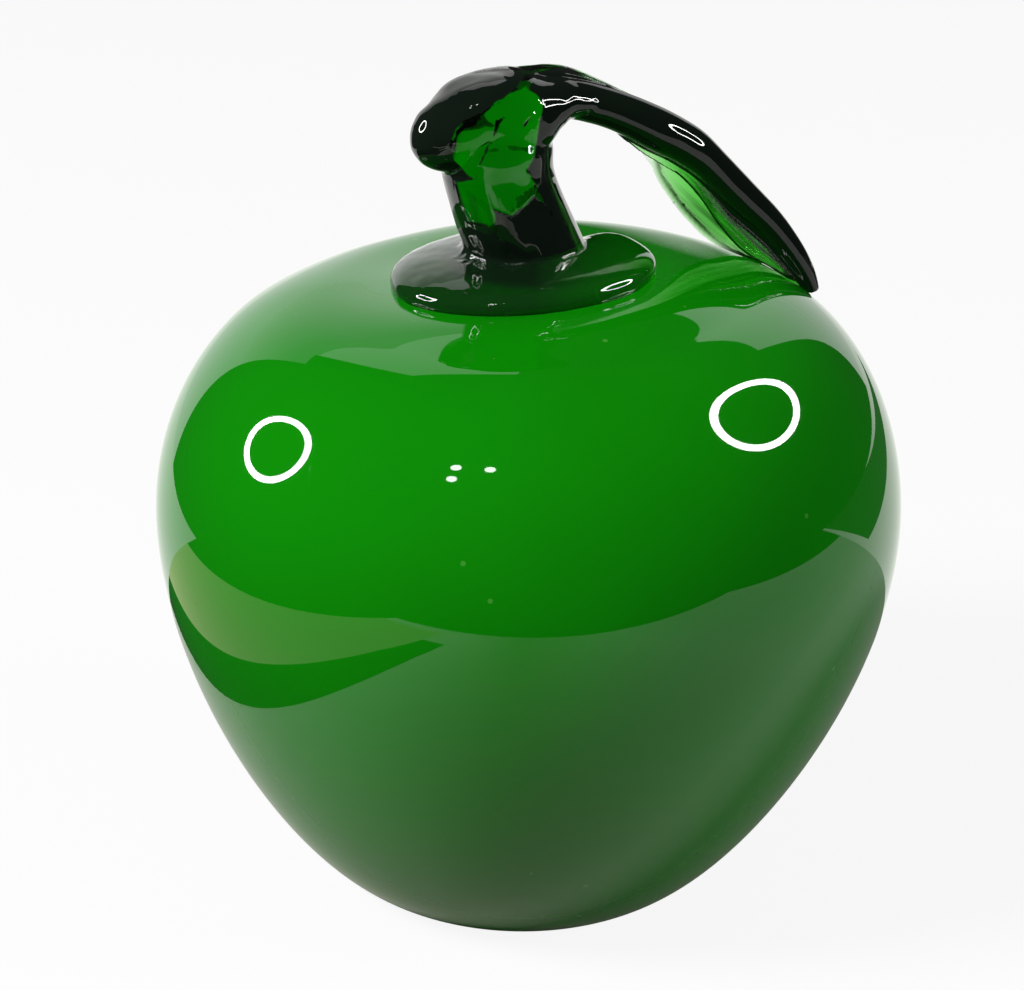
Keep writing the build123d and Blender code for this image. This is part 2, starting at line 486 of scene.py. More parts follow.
def body_profile(shape):
    """Half outline of the body, from the middle of the foot to the crown under the pad."""
    dish_steps, foot_steps, wall_steps, crown_steps = 12, 8, 70, 30
    shoulder_kept = 64
    crown_pull = 8 * MM
    r, top = BODY_RADIUS, BODY_TOP
    foot_edge = shape.foot_radius - 0.4 * MM
    crown_edge = (19 * MM, top + shape.crown_rise)
    crown_middle = (8 * MM, top + shape.crown_rise)
    row = []
    for i in range(dish_steps):
        share = i / dish_steps
        row.append((shape.dish_radius * share, shape.dish_depth * (1 - share * share)))
    for i in range(foot_steps):
        row.append((shape.dish_radius + (foot_edge - shape.dish_radius) * i / foot_steps, 0.0))
    row.append((foot_edge, 0.0))
    pull = shape.foot_pull
    belly = [
        (shape.foot_radius, 0.1 * MM),
        (shape.foot_radius + pull * math.cos(shape.foot_angle), pull * math.sin(shape.foot_angle)),
        (r, shape.equator - shape.belly_pull),
        (r, shape.equator),
    ]
    shoulder = [
        (r, shape.equator),
        (r, shape.equator + shape.shoulder_pull),
        (shape.crest_radius + shape.crest_pull, top),
        (shape.crest_radius, top),
    ]
    row += bezier(belly, wall_steps)
    side = bezier(shoulder, wall_steps)[:shoulder_kept]
    (r0, z0), (r1, z1) = side[-2:]
    step = crown_pull / math.hypot(r1 - r0, z1 - z0)
    crown = [
        (r1, z1),
        (r1 + (r1 - r0) * step, z1 + (z1 - z0) * step),
        crown_edge,
        crown_middle,
    ]
    row += side[:-1] + bezier(crown, crown_steps)
    row.append(crown_middle)
    return row


def top_height(radius, shape):
    """Height of the body's skin under the pad, by straight steps along its outline."""
    row = [p for p in body_profile(shape) if p[1] > shape.equator]
    for (r0, z0), (r1, z1) in zip(row, row[1:]):
        if r1 <= radius <= r0 and r0 > r1:
            return z0 + (z1 - z0) * (radius - r0) / (r1 - r0)
    return BODY_TOP + shape.crown_rise


def leaf_frame(glass):
    """Directions along the leaf and across it to the back."""
    a = glass.azimuth
    return Vector((math.cos(a), math.sin(a), 0)), Vector((-math.sin(a), math.cos(a), 0))


def leaf_point(axes, place, side, height):
    """Point at millimetres along the leaf, across it and above the body's top."""
    along, across = axes
    return (along * place + across * side + Vector((0, 0, height))) * MM + TOP


def with_up(rows):
    """Each row, which starts with a place and a height, with the upward direction at its line."""
    pairs = []
    for i, row in enumerate(rows):
        a = rows[max(i - 1, 0)]
        b = rows[min(i + 1, len(rows) - 1)]
        slope = Vector((b[0] - a[0], b[1] - a[1])).normalized()
        pairs.append((row, Vector((-slope[1], slope[0]))))
    return pairs


def pad_rings(shape, glass):
    """Pooled disc: a low dome with a round rim in soft lobes, notched and hollow at the back.

    Its underside is sunk a little in the crown.
    """
    rim, dome, square = 0.9 * MM, 3.9 * MM, 2.2
    levels = [(share, -0.5 * MM) for share in (0.02, 0.3, 0.6, 0.85, 0.95)]
    levels += [(0.985, -0.2 * MM), (1.0, 0.35 * MM)]
    for share in (1.0, 0.995, 0.98, 0.955, 0.92, 0.87, 0.8, 0.7, 0.58, 0.45, 0.3, 0.15, 0.02):
        levels.append((share, rim + dome * (1 - share**square) ** (1 / square)))
    per_mm = 4
    skin = [top_height(i * MM / per_mm, shape) for i in range(110)]
    rings = []
    for share, height in levels:
        ring = []
        for a in turns(96):
            lobe = 1 + 0.012 * math.sin(2 * a + 0.6) + 0.010 * math.sin(3 * a + 2.0)
            lobe += 0.004 * math.sin(7 * a)
            notch = 0.40 * bell(a, 1.25, 0.42)
            r = glass.pad_radius * share * (lobe - notch)
            x = glass.pad_shift + r * math.cos(a)
            y = r * math.sin(a)
            place = math.hypot(x, y) * per_mm / MM
            low = skin[int(place)]
            level = low + (skin[int(place) + 1] - low) * (place % 1)
            swell = bell(a, 0.6, 0.22) * smoothstep(share, 0.5, 0.9) * max(height, 0) * 0.25
            hollow = 0.75 * bell(a, 1.2, 0.55) * max(height - rim, 0)
            lift = Vector((0, 0, height + swell - hollow))
            ring.append(uneven((x, y, level), shape) + lift)
        rings.append(ring)
    return rings


def stem_rings(glass):
    """Leaning column with fine flutes low down and a bead of glass round its foot."""
    along, across = leaf_frame(glass)
    rings = []
    for height, place, radius in through([tuple(v * MM for v in s) for s in STEM_STATIONS], 8):
        low = 1 - smoothstep(height, 5.5 * MM, 16 * MM)
        bead = 0.5 * MM * bell(height, 5.2 * MM, 0.7 * MM)
        ring = []
        for a in turns(72):
            flute = 1 + 0.008 * low * math.sin(19 * a) + 0.005 * low * math.sin(31 * a + 1.0)
            r = radius * flute + bead
            spot = along * (place + r * math.cos(a)) + across * (r * math.sin(a))
            ring.append(spot + Vector((0, 0, BODY_TOP + height)))
        rings.append(ring)
    return rings


def head_rings(glass):
    """Rounded heel and thick flat-topped head lapped over the stem."""
    axes = leaf_frame(glass)
    rings = []
    for (place, height, tall, wide, square), up in with_up(through(HEAD_STATIONS, 6)):
        ring = []
        for a in turns(64):
            c, d = math.cos(a), math.sin(a)
            u = wide * math.copysign(abs(c) ** (2 / square), c)
            v = tall * math.copysign(abs(d) ** (2 / square), d)
            ring.append(leaf_point(axes, place + up[0] * v, u, height + up[1] * v))
        rings.append(ring)
    return rings


def roll_line(count):
    """Middle, radius and upward direction of the leaf's rolled near side, in millimetres."""
    line = []
    for row, up in with_up(through(LEAF_STATIONS, count)):
        drop, radius = row[2:4]
        line.append((Vector(row[:2]) - up * (drop + radius), radius, up))
    return line


def roll_rings(glass):
    """Thick rolled near side of the leaf."""
    axes = leaf_frame(glass)
    rings = []
    for middle, radius, up in roll_line(6):
        ring = []
        for a in turns(36):
            place, height = middle + up * (radius * math.sin(a))
            ring.append(leaf_point(axes, place, radius * (math.cos(a) - ROLL_FORWARD), height))
        rings.append(ring)
    return rings


def flap_rings(glass):
    """Short near blade that hangs from the roll, with a round rim."""
    axes = leaf_frame(glass)
    rings = []
    for place, high, low, thick in through(FLAP_STATIONS, 5):
        front = []
        for t in (0, 0.3, 0.6, 0.8, 0.92, 0.98):
            front.append((high + (low - high) * t, -thick / 2 * (1 - t**8) ** 0.5))
        rear = [(height, -side) for height, side in reversed(front)]
        ring = []
        for height, side in front + [(low, 0.0)] + rear:
            ring.append(leaf_point(axes, place, side - FLAP_FORWARD, height))
        rings.append(ring)
    return rings


def blade_point(axes, row, up, q, side):
    """Point on one side of the far blade's skin; q goes from 0 at the ridge to 1 at the rim."""
    place, height = row[:2]
    thick, length, fold = row[4:]
    thinnest, least_fold = 0.3, 0.5
    bend = math.radians(fold if abs(fold) > least_fold else least_fold)
    angle = bend * q
    half = max(thick / 2 * (1 - 0.3 * abs(q)) * (1 - 0.8 * abs(q) ** 7), thinnest)
    half *= (1 - abs(q) ** 20) ** 0.5
    u = length / bend * math.sin(angle) + side * half * math.sin(angle)
    v = -length / bend * (1 - math.cos(angle)) + side * half * math.cos(angle) - thick / 2
    v -= (0.5 + 0.7 * smoothstep(place, 16, 24)) * (1 - abs(q)) ** 2
    return leaf_point(axes, place + up[0] * v, u, height + up[1] * v)


def blade_rings(glass):
    """Far blade that folds down behind the roll, thin at its top and thicker below."""
    axes = leaf_frame(glass)
    count = 20
    steps = [math.sin(math.pi / 2 * k / count) for k in range(-1, count + 1)]
    rings = []
    for row, up in with_up(through(LEAF_STATIONS, 6)):
        outer = [blade_point(axes, row, up, q, 1) for q in steps]
        inner = [blade_point(axes, row, up, q, -1) for q in reversed(steps[:-1])]
        rings.append(outer + inner)
    return rings


def melted(glass, shells):
    """Shells of several bits melted into one skin, relaxed, with soft waves and a wrinkled foot."""
    verts, faces = [], []
    for rings in shells:
        v, f = skin_rings(rings)
        faces += [tuple(i + len(verts) for i in face) for face in f]
        verts += v
    obj = new_object("melt", verts, faces)
    smooth(obj.data)
    melt = obj.modifiers.new("melt", "REMESH")
    melt.mode = "VOXEL"
    melt.voxel_size = glass.voxel
    relax = obj.modifiers.new("relax", "SMOOTH")
    relax.factor = 0.5
    relax.iterations = 14
    graph = bpy.context.evaluated_depsgraph_get()
    mesh = bpy.data.meshes.new_from_object(obj.evaluated_get(graph))
    bpy.data.objects.remove(obj)
    normals = [Vector(item.vector) for item in mesh.vertex_normals]
    soft_wave, fine_wave, wrinkle = 0.12, 0.05, 0.3
    places = []
    for vert, normal in zip(mesh.vertices, normals):
        p = vert.co / MM
        h = p.z - BODY_TOP / MM
        foot = bell(h, 5.4 + 0.06 * p.x, 1.1) * smoothstep(12.5 - math.hypot(p.x, p.y), 0, 2)
        front_left = smoothstep(-p.y, 2, 6) * smoothstep(-p.x, -4, 0)
        calm = (1 - 0.8 * smoothstep(p.x, 4, 9)) * (0.5 + 0.5 * smoothstep(abs(h - 12), 7, 10))
        wave = calm * (soft_wave * noise.noise(p * 0.19) + fine_wave * noise.noise(p * 0.5))
        wave += wrinkle * foot * front_left * noise.noise(p * 0.9)
        places.extend(vert.co + normal * wave * MM)
    mesh.vertices.foreach_set("co", places)
    mesh.update()
    return mesh


def slice_piece(name, mesh, along, cuts):
    """Part of a mesh behind each cut plane, closed with faces that are marked as joints.

    A cut has a point, a normal and the stretch along the leaf's direction where it works.
    """
    bm = bmesh.new()
    bm.from_mesh(mesh)
    mark = bm.faces.layers.float.new("joint")
    for spot, normal, start, end in cuts:
        near = [v for v in bm.verts if start < v.co.dot(along) < end]
        inside = set(near)
        edges = [e for e in bm.edges if inside.issuperset(e.verts)]
        faces = [f for f in bm.faces if inside.issuperset(f.verts)]
        bmesh.ops.bisect_plane(bm, geom=near + edges + faces, plane_co=spot, plane_no=normal,
                               clear_outer=True)
    rim = [e for e in bm.edges if e.is_boundary]
    for edge in rim:
        edge.smooth = False
    for face in bmesh.ops.holes_fill(bm, edges=rim, sides=0)["faces"]:
        face[mark] = 1.0
    out = bpy.data.meshes.new(name)
    bm.to_mesh(out)
    bm.free()
    smooth(out)
    return add_object(name, out)


def tree_of(points):
    """Search tree for the nearest of some points."""
    tree = kdtree.KDTree(len(points))
    for i, point in enumerate(points):
        tree.insert(point, i)
    tree.balance()
    return tree


def stem_painted_dark(p, h, n):
    """Painted darkness on the stem and the head, left off in the window, streaked, and along the folds.

    The window's edge strays more, and is softer, towards the back.
    """
    if not (-14 < p.x < 4 and 8 < h < 35):
        return 1.0
    stray = noise.noise(p * 0.22) * 1.8 + noise.noise(p * 0.6) * 0.8
    behind = smoothstep(n, -1, 4)
    edge = gap_to(p.x, h, WINDOW) + (0.3 + 0.9 * behind) * stray - 3 * behind
    depth = smoothstep(edge, -0.3, 0.4 + 2 * behind)
    depth = min(depth, 0.36 + 0.64 * smoothstep(gap_to(p.x, h, STREAKS), -0.3, 0.5))
    depth = min(depth, smoothstep(abs(gap_to(p.x, h, CLEAR_LINE)) + 0.2 * stray, 0.0, 0.4))
    fold = min(abs(gap_to(p.x, h, ends)) for ends in FOLD_LINES) - 0.3 * noise.noise(p * 0.8)
    return max(depth, 1 - smoothstep(fold, -0.05, 0.25))


def shade_depth(obj, glass):
    """Mark the painted darkness, where it is streaked, and the thin rim of the far blade.

    Here s, n and h are millimetres along the leaf, across it and above the body's top.
    """
    along, across = leaf_frame(glass)
    # Painted darkness on the pad, for shade seen through it
    pad_painted_dark = 0.58
    line = roll_line(24)
    roll_tree = tree_of([(middle[0], middle[1], 0) for middle, _, _ in line])
    rim_tree = tree_of([ring[len(ring) // 2] for ring in blade_rings(glass)])
    marks = {"deep": [], "streaky": [], "thin": []}
    for vert in obj.data.vertices:
        p = vert.co / MM
        s = p.dot(along)
        n = p.dot(across)
        h = p.z - BODY_TOP / MM
        leafy = smoothstep(s, 5, 8) if h > 8 or s > 25 else 0.0
        pad = 1 - smoothstep(h, 4.5, 6.5) if s < 20 else 0.0
        # dark is the painted darkness: that of the stem and the head, then the pad's
        dark = stem_painted_dark(p, h, n)
        dark += (pad_painted_dark - dark) * pad
        # The near roll is painted nearly black and the far blade painted darker towards its tip: painted
        # darkness for light lost in thick glass and shade seen through it
        _, i, gap = roll_tree.find((s, h, 0))
        radius = line[i][1]
        reach = math.hypot(gap, n + ROLL_FORWARD * radius) / radius - 0.3 * smoothstep(s, 24, 32)
        roll = 1 - smoothstep(reach, 1.0, 1.2)
        blade = 0.22 + 0.22 * smoothstep(s, 19, 29)
        from_rim = rim_tree.find(vert.co)[2] / MM
        # The deep mark carries this painted darkness to the material
        marks["deep"].append(dark + (max(roll, blade) - dark) * leafy)
        marks["streaky"].append(max(leafy, 0.9 - 0.9 * smoothstep(h, 15, 18)) * (1 - pad))
        marks["thin"].append(0.9 * (1 - smoothstep(from_rim, 0.8, 2.2)) * (1 - smoothstep(s, 29, 35)))
    for name, values in marks.items():
        layer = obj.data.attributes.new(name, "FLOAT", "POINT")
        layer.data.foreach_set("value", values)


def gap_to(x, z, outline):
    """Distance from a point to a closed outline, negative inside."""
    nearest = 1e9
    inside = False
    for i, (ax, az) in enumerate(outline):
        bx, bz = outline[i - 1]
        dx, dz = bx - ax, bz - az
        share = min(max(((x - ax) * dx + (z - az) * dz) / (dx * dx + dz * dz), 0.0), 1.0)
        nearest = min(nearest, math.hypot(x - ax - dx * share, z - az - dz * share))
        if (az > z) != (bz > z) and x < dx * (z - az) / dz + ax:
            inside = not inside
    return -nearest if inside else nearest


def green_cased_glass():
    """Glossy green skin over an opal lining, with faint clouds, seeds and fine scratches."""
    seed_size, seed_patch, scratch_edge = 0.055, 0.56, 0.73
    mat, sh = new_material("green_cased_glass")
    place = sh.place()
    cloud = sh.noise(place, 26.0, 2.0)
    cells = sh.node("ShaderNodeTexVoronoi", {"Vector": place, "Scale": 150.0}, "Distance")
    seed = (cells < seed_size) * (sh.noise(place, 60.0, 1.0) > seed_patch)
    deep = sh.mix(cloud, (0.0026, 0.215, 0.0008, 1), (0.0046, 0.285, 0.0022, 1))
    colour = sh.mix(seed * 0.5, deep, (0.10, 0.42, 0.06, 1))
    drawn = {"Vector": place, "Rotation": (0.5, 0.9, 0.3), "Scale": (900.0, 60.0, 60.0)}
    scratch = sh.noise(sh.node("ShaderNodeMapping", drawn), 1.0, 2.0) > scratch_edge
    relief = {"Strength": 0.04, "Distance": FINE_RELIEF, "Height": cloud}
    sh.end(sh.node("ShaderNodeBsdfPrincipled", {
        "Base Color": colour,
        "Roughness": 0.025 + 0.05 * scratch,
        "IOR": GLASS_IOR,
        "Normal": sh.node("ShaderNodeBump", relief),
    }))
    return mat


def opal_glass():
    """Milky inner layer."""
    mat, sh = new_material("opal_glass")
    cloud = sh.noise(sh.place(), 40.0, 3.0)
    colour = sh.mix(cloud, (0.62, 0.74, 0.58, 1), (0.80, 0.88, 0.76, 1))
    sh.end(sh.node("ShaderNodeBsdfPrincipled", {
        "Base Color": colour,
        "Roughness": 0.12 + 0.1 * cloud,
        "IOR": GLASS_IOR,
    }))
    return mat


# Drawn lines of a glass piece: turn and size of their grain, strength of their relief, how far they
# streak the painted darkness, the most of that painted darkness, and how much its right side is painted
# lighter green, a painted glow of light coming through the glass
Drawn = namedtuple("Drawn", "turn scale strength streak depth lit")


def dark_green_glass(name, glass, drawn):
    """Clear green glass, mixed with a near-black coat of painted darkness where the mesh is marked deep.

    Joints and the thin rim of the far blade are see-through.
    """
    mat, sh = new_material(name)
    place = sh.place()
    grain = {"Vector": place, "Rotation": drawn.turn, "Scale": drawn.scale}
    lines = sh.noise(sh.node("ShaderNodeMapping", grain, vector_type="TEXTURE"), 1.0, 2.0)
    deep = sh.attribute("deep")
    streaky = sh.attribute("streaky")
    facets = sh.node("ShaderNodeTexVoronoi", {"Vector": place, "Scale": 190.0, "Smoothness": 0.25},
                     "Distance", feature="SMOOTH_F1")
    height = (lines * streaky + facets * (1 - streaky)) * (1 - deep)
    normal = sh.node("ShaderNodeBump", {"Strength": drawn.strength, "Distance": FINE_RELIEF,
                                        "Height": height})
    clear = sh.node("ShaderNodeBsdfPrincipled", {
        "Base Color": WHITE,
        "Roughness": 0.0,
        "IOR": GLASS_IOR,
        "Transmission Weight": 1.0,
        "Normal": normal,
    })
    # Painted darkness: a near-black colour, a little mottled, for light lost in thick glass and for shade
    # seen through it
    dark = sh.mix(sh.noise(place, 120.0, 2.0), (0.004, 0.007, 0.005, 1), (0.006, 0.013, 0.007, 1))
    # Painted glow: the right side is painted lighter green, as if lit by light passing through the glass
    painted_right_glow = sh.ramp(sh.axis("X"), 0.0, 0.017)
    dark = sh.mix(painted_right_glow * drawn.lit, dark, (0.003, 0.13, 0.002, 1))
    # Opaque coat that carries the painted darkness
    thick = sh.node("ShaderNodeBsdfPrincipled", {
        "Base Color": dark,
        "Roughness": 0.02,
        "IOR": GLASS_IOR,
        "Normal": normal,
    })
    streaked = deep + (lines - 0.5) * deep * streaky * drawn.streak
    depth = sh.ramp(streaked, 0.3, 0.7, interpolation_type="SMOOTHSTEP")
    body = sh.blend(depth * drawn.depth, clear, thick)
    open_face = sh.attribute("joint") + sh.attribute("thin")
    surface = sh.blend(open_face, body, sh.node("ShaderNodeBsdfTransparent"))
    tint = {"Color": rgba(glass.absorb), "Density": glass.density}
    sh.end(surface, Volume=sh.node("ShaderNodeVolumeAbsorption", tint))
    return mat


class OBJECT_OT_apple_body(bpy.types.Operator):
    """Make the body's green casing and finish its opal lining"""

    bl_idname = "object.apple_body"
    bl_label = "Apple body"

    def execute(self, context):
        shape = context.scene.apple_shape
        around = turns(192)
        rings = []
        for r, z in body_profile(shape)[1:]:
            rings.append([uneven((r * math.cos(a), r * math.sin(a), z), shape) for a in around])
        body = new_object("apple_casing", *skin_rings(rings))
        smooth(body.data)
        body.data.materials.append(green_cased_glass())
        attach(body, "root")
        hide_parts("green_casing")
        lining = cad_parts["opal_lining"]
        lining.data.materials.clear()
        lining.data.materials.append(opal_glass())
        return {"FINISHED"}


class OBJECT_OT_dark_glass(bpy.types.Operator):
    """Make the pad, the stem and the leaf from bits of dark glass melted together"""

    bl_idname = "object.dark_glass"
    bl_label = "Pad, stem and leaf"

    def execute(self, context):
        shape = context.scene.apple_shape
        glass = context.scene.dark_glass
        mesh = melted(glass, [pad_rings(shape, glass), stem_rings(glass), head_rings(glass),
                              roll_rings(glass), flap_rings(glass), blade_rings(glass)])
        along = leaf_frame(glass)[0]
        gap = JOINT_GAP * MM
        foot = Vector((0, 0, BODY_TOP + FOOT_HEIGHT * MM)) + along * glass.pad_shift
        foot_up = Vector((-math.sin(glass.pad_tilt), 0, math.cos(glass.pad_tilt)))
        lap = along * (LAP_PLACE * MM) + Vector((0, 0, BODY_TOP + LAP_HEIGHT * MM))
        lap_up = (Vector((0, 0, 1)) - along * LAP_SLOPE).normalized()
        down = Vector((0, 0, -1))
        pad_cuts = [
            (along * PAD_REACH * MM, along, -FAR, FAR),
            (foot - foot_up * gap, foot_up, -FAR, FAR),
        ]
        stem_cuts = [
            (foot + foot_up * gap, -foot_up, -FAR, FAR),
            (along * STEM_REACH * MM, along, -FAR, FAR),
            (lap - lap_up * gap, lap_up, -FAR, FAR),
        ]
        leaf_cuts = []
        for height, start, end in LEAF_FLOORS:
            leaf_cuts.append((Vector((0, 0, BODY_TOP + height * MM)), down, start * MM, end * MM))
        leaf_cuts.append((lap + lap_up * gap, -lap_up, -FAR, LAP_END * MM))
        # The pad gets the painted glow on its right side and most of the painted darkness
        pad_lines = Drawn(turn=(0, 0, 0), scale=(7 * MM, 7 * MM, 7 * MM),
                          strength=0.04, streak=0.5, depth=0.92, lit=1.0)
        stem_lines = Drawn(turn=(0, -0.25, 0), scale=(1.1 * MM, 1.1 * MM, 16 * MM),
                           strength=0.3, streak=3.0, depth=1.0, lit=0.0)
        leaf_lines = Drawn(turn=(0, 0.75, glass.azimuth), scale=(22 * MM, 1.0 * MM, 1.0 * MM),
                           strength=0.4, streak=1.1, depth=1.0, lit=0.0)
        pieces = (
            ("glass_pad", "stem_pad", pad_cuts, pad_lines),
            ("glass_stem", "stem", stem_cuts, stem_lines),
            ("glass_leaf", "leaf", leaf_cuts, leaf_lines),
        )
        for name, node, cuts, drawn in pieces:
            piece = slice_piece(name, mesh, along, cuts)
            shade_depth(piece, glass)
            piece.data.materials.append(dark_green_glass(name + "_green", glass, drawn))
            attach(piece, "root")
            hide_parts(node)
            piece.visible_shadow = False
        return {"FINISHED"}


# Sheets on the table that only mirrors see: name, left, right, front, back and level in metres,
# colour, brightness and the pieces that mirror it, all of them where none is named
SHEETS = (
    ("dark_edge", -0.103, -0.078, -0.205, 0.075, 0.0005, (1, 1, 1), 0.03, ()),
    ("dark_side", 0.23, 1.0, 0.09, 0.50, 0.001, (1, 1, 1), 0.06, ()),
    ("back_sheet", -0.25, 1.0, 0.075, 0.94, 0.0005, (1, 1, 0.97), 1.15, ()),
    ("paper", -0.20, -0.103, -0.255, 0.075, 0.0005, (1.0, 1.0, 0.6), 0.85, ("apple_casing",)),
)

# Ring lamps: name, the point on the glass that each faces, azimuth, elevation and distance from it,
# radius, tube, narrowness one way and the lean of that way in degrees, and the pieces that mirror it
RING_LAMPS = (
    ("ring_lamp_left", (-0.0347, -0.0335, 0.0787), -99, 25, 0.60, 0.124, 0.012, 1.0, 0.0, ()),
    ("ring_lamp_right", (0.0297, -0.0324, 0.0841), 106, 40, 0.40, 0.120, 0.011, 0.82, 90.0,
     ("apple_casing", "glass_pad", "glass_stem")),
    ("ring_lamp_leaf", (0.021, 0.006, 0.114), 77, 18.5, 0.70, 0.17, 0.020, 0.55, 58.6,
     ("glass_leaf",)),
)
LAMP_STRENGTH = 22.0


def glow(name, colour, strength, clear=False):
    """Plain light; a clear one also lets what is behind it through."""
    mat, sh = new_material(name)
    light = sh.node("ShaderNodeEmission", {"Color": rgba(colour), "Strength": strength})
    if clear:
        light = sh.node("ShaderNodeAddShader", {0: light, 1: sh.node("ShaderNodeBsdfTransparent")})
    sh.end(light)
    return mat


def fading(name, foot, top, tone):
    """Light that is white at its foot and fades to a darker tone above."""
    mat, sh = new_material(name)
    shade = sh.mix(sh.ramp(sh.axis("Z"), foot, top), (0.95, 0.95, 0.92, 1), (tone, tone, tone, 1))
    sh.end(sh.node("ShaderNodeEmission", {"Color": shade, "Strength": 1.0}))
    return mat


def unseen(obj, mat, in_glass=False, mirrored_by=()):
    """Stage piece that only reflections, or reflections and clear glass, can see."""
    obj.data.materials.append(mat)
    obj.visible_camera = False
    obj.visible_diffuse = False
    obj.visible_shadow = False
    obj.visible_transmission = in_glass
    if mirrored_by:
        group = bpy.data.collections.new(obj.name + "_mirrors")
        for name in mirrored_by:
            group.objects.link(bpy.data.objects[name])
        obj.light_linking.receiver_collection = group


def toward(azimuth, elevation):
    """Direction from the apple: 0 is the front, positive to the right, in degrees."""
    a, e = math.radians(azimuth), math.radians(elevation)
    return Vector((math.sin(a) * math.cos(e), -math.cos(a) * math.cos(e), math.sin(e)))


def flat_sheet(name, left, right, front, back, level):
    """Level rectangle."""
    corners = ((left, front), (right, front), (right, back), (left, back))
    return new_object(name, [(x, y, level) for x, y in corners], [(0, 1, 2, 3)])


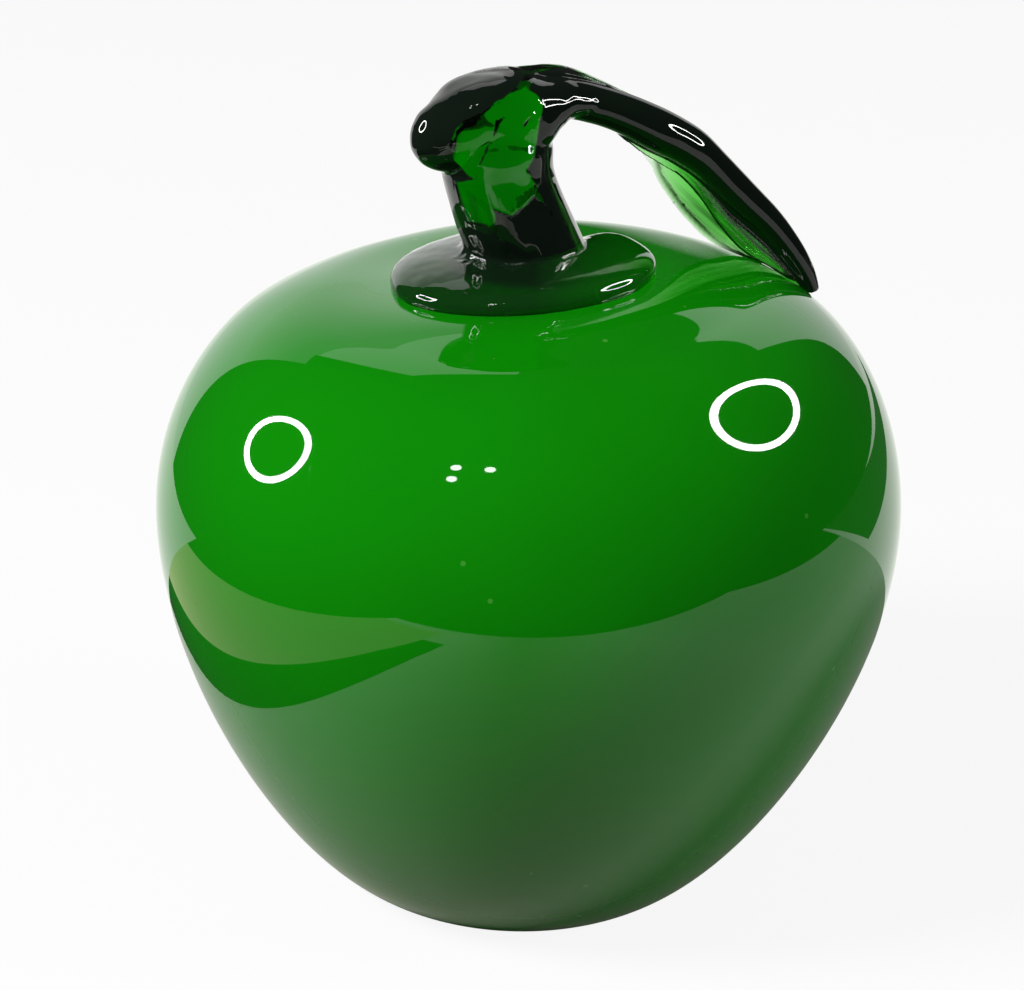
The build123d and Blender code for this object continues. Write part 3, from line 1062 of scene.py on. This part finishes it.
class SCENE_OT_apple_stage(bpy.types.Operator):
    """Set the table, the dark room round it, the lamps, the world and the camera"""

    bl_idname = "scene.apple_stage"
    bl_label = "Stage"

    def execute(self, context):
        stage = context.scene.apple_stage
        self.table()
        self.room()
        self.lamps()
        self.world(context.scene, stage)
        self.camera(context.scene, stage)
        context.scene.view_settings.view_transform = "Standard"
        return {"FINISHED"}

    def table(self):
        """White table top that looks grey in mirrors where the apple stands, and sheets on it."""
        top = flat_sheet("table", -0.20, 0.44, -0.285, 0.90, 0.0)
        mat, sh = new_material("pale_table")
        seen = sh.seen_by("Camera", "Transmission")
        mirrored = sh.seen_by("Glossy")
        place = sh.axis("X")
        grey = sh.mix(sh.ramp(place, 0.0, 0.12), (0.50, 0.50, 0.42, 1), (0.90, 0.90, 0.86, 1))
        grey = sh.mix(sh.ramp(place, -0.01, -0.075), grey, (0.90, 0.90, 0.84, 1))
        plain = sh.mix(mirrored, (0.22, 0.22, 0.22, 1), grey)
        lit = sh.node("ShaderNodeBsdfPrincipled", {
            "Base Color": sh.mix(seen, plain, (0.95, 0.95, 0.95, 1)),
            "Roughness": 1.0,
            "Specular IOR Level": 0.0,
        })
        white = sh.node("ShaderNodeEmission", {"Color": WHITE, "Strength": 1.0})
        sh.end(sh.blend(seen * 0.9, lit, white))
        top.data.materials.append(mat)
        for name, left, right, front, back, level, colour, strength, mirrored_by in SHEETS:
            sheet = flat_sheet(name, left, right, front, back, level)
            unseen(sheet, glow(name + "_glow", colour, strength), mirrored_by=mirrored_by)

    def room(self):
        """Room that the glass mirrors: dark walls and ceiling, and walls that fade at the back.

        White shows between the right and the back walls, and under and over the high one.
        """
        radius, low, high, steps = 0.95, -0.6, 0.80, 24
        dark = glow("dark_room", (0.5, 0.52, 0.5), 0.05)
        back_wall = fading("back_wall", 0.06, 0.20, 0.025)
        pale_wall = fading("pale_wall", 0.38, 0.72, 0.5)
        walls = (
            ("room_front", -40, 40, low, dark, ()),
            ("room_right", 40, 146, low, dark, ()),
            ("room_left", -138, -40, low, dark, ()),
            ("room_back", 165.5, 181, 0.05, back_wall, ("apple_casing", "glass_stem", "glass_leaf")),
            ("room_high", 181, 222, 0.36, pale_wall, ()),
        )
        for name, start, end, foot, mat, mirrored_by in walls:
            verts, faces = [], []
            for i in range(steps + 1):
                d = toward(start + (end - start) * i / steps, 0) * radius
                verts += [d + Vector((0, 0, foot)), d + Vector((0, 0, high + 0.02))]
                if i:
                    faces.append((2 * i - 2, 2 * i, 2 * i + 1, 2 * i - 1))
            unseen(new_object(name, verts, faces), mat, mirrored_by=mirrored_by)
        count, open_start, open_end = 72, 182, 214
        ring = []
        for i in range(count):
            azimuth = 360 // count * i
            reach = 0.50 if open_start < azimuth < open_end else radius * 1.02
            ring.append(toward(azimuth, 0) * reach + Vector((0, 0, high)))
        ring.append(Vector((0, 0, high)))
        fan = [(i, (i + 1) % count, count) for i in range(count)]
        unseen(new_object("room_ceiling", ring, fan), dark)

    def ring_lamp(self, name, radius, tube):
        """Ring of a round tube."""
        around, across = 48, 10
        verts, faces = [], []
        for i, a in enumerate(turns(around)):
            for j, b in enumerate(turns(across)):
                r = radius + tube * math.cos(b)
                verts.append(Vector((r * math.cos(a), r * math.sin(a), tube * math.sin(b))))
                k, m = (i + 1) % around, (j + 1) % across
                faces.append((i * across + j, k * across + j, k * across + m, i * across + m))
        lamp = new_object(name, verts, faces)
        smooth(lamp.data)
        return lamp

    def soft_lamp(self, name, azimuth, elevation, power):
        """Round soft lamp that faces the middle of the apple and isn't mirrored."""
        away, size = 0.95, 0.30
        middle = Vector((0, 0, 0.06))
        spot = middle + toward(azimuth, elevation) * away
        light = bpy.data.lights.new(name, "AREA")
        light.shape = "DISK"
        light.size = size
        light.energy = power
        lamp = add_object(name, light)
        turn = (middle - spot).to_track_quat("-Z", "Y").to_matrix().to_4x4()
        lamp.matrix_world = Matrix.Translation(spot) @ turn
        lamp.visible_glossy = False
        lamp.visible_transmission = False

    def lamps(self):
        """Ring lamps and small round lamps for the mirror images, and two soft lamps."""
        for name, spot, azimuth, elevation, away, radius, tube, narrow, lean, mirrored_by in RING_LAMPS:
            aim = Vector(spot)
            centre = aim + toward(azimuth, elevation) * away
            lamp = self.ring_lamp(name, radius, tube)
            turn = (aim - centre).to_track_quat("Z", "Y").to_matrix().to_4x4()
            turn = turn @ Matrix.Rotation(math.radians(lean), 4, "Z")
            lamp.matrix_world = Matrix.Translation(centre) @ turn @ Matrix.Diagonal((narrow, 1, 1, 1))
            light = glow(name + "_glow", (1, 1, 0.98), LAMP_STRENGTH, clear=True)
            unseen(lamp, light, in_glass=True, mirrored_by=mirrored_by)
        front = Vector((-0.01, -0.045, 0.082))
        spot_away, spot_radius = 0.55, 0.015
        for i, (azimuth, elevation) in enumerate(((-36, 54), (-34, 48), (-20, 56))):
            bead = bmesh.new()
            bmesh.ops.create_icosphere(bead, subdivisions=2, radius=spot_radius)
            mesh = bpy.data.meshes.new("spot_lamp")
            bead.to_mesh(mesh)
            bead.free()
            lamp = add_object("spot_lamp_%d" % i, mesh)
            lamp.location = front + toward(azimuth, elevation) * spot_away
            unseen(lamp, glow("spot_lamp_glow_%d" % i, (1, 1, 1), LAMP_STRENGTH), in_glass=True)
        self.soft_lamp("key_left", -60, 40, 8.5)
        self.soft_lamp("fill_right", 80, 18, 2.9)

    def world(self, scene, stage):
        """White to the camera, to mirrors and through glass, and a soft light elsewhere."""
        scene.world = bpy.data.worlds.new("studio")
        sh = Shader(scene.world)
        soft = sh.node("ShaderNodeBackground", {"Color": WHITE, "Strength": stage.ambient})
        white = sh.node("ShaderNodeBackground", {"Color": WHITE, "Strength": 1.0})
        seen = sh.seen_by("Camera", "Glossy", "Transmission")
        sh.node("ShaderNodeOutputWorld", {"Surface": sh.blend(seen, soft, white)})

    def camera(self, scene, stage):
        """Camera that looks down at the apple from the front, with a small roll."""
        data = bpy.data.cameras.new("camera")
        data.lens = stage.lens
        data.sensor_width = 36.0
        data.clip_start = 0.01
        obj = bpy.data.objects.new("camera", data)
        scene.collection.objects.link(obj)
        aim = Vector(stage.aim)
        back = Vector((0, -math.cos(stage.elevation), math.sin(stage.elevation)))
        right = Vector((1, 0, 0))
        up = back.cross(right)
        up_rolled = up * math.cos(stage.roll) + right * math.sin(stage.roll)
        right_rolled = up_rolled.cross(back)
        turn = Matrix((right_rolled, up_rolled, back)).transposed()
        obj.matrix_world = Matrix.Translation(aim + back * stage.distance) @ turn.to_4x4()
        scene.camera = obj


class VIEW3D_PT_glass_apple(bpy.types.Panel):
    """Lists the steps that make the apple"""

    bl_label = "Glass Apple"
    bl_idname = "VIEW3D_PT_glass_apple"
    bl_space_type = "VIEW_3D"
    bl_region_type = "UI"
    bl_category = "Glass Apple"

    def draw(self, context):
        for step in STEPS:
            self.layout.operator(step.bl_idname)


STEPS = (OBJECT_OT_apple_body, OBJECT_OT_dark_glass, SCENE_OT_apple_stage)
CLASSES = (AppleShape, DarkGlass, StageLook) + STEPS + (VIEW3D_PT_glass_apple,)


def register():
    for cls in CLASSES:
        bpy.utils.register_class(cls)
    bpy.types.Scene.apple_shape = bpy.props.PointerProperty(type=AppleShape)
    bpy.types.Scene.dark_glass = bpy.props.PointerProperty(type=DarkGlass)
    bpy.types.Scene.apple_stage = bpy.props.PointerProperty(type=StageLook)


def unregister():
    del bpy.types.Scene.apple_stage
    del bpy.types.Scene.dark_glass
    del bpy.types.Scene.apple_shape
    for cls in reversed(CLASSES):
        bpy.utils.unregister_class(cls)


def main():
    register()
    bpy.ops.object.apple_body()
    bpy.ops.object.dark_glass()
    bpy.ops.scene.apple_stage()


if __name__ == "__main__":
    main()
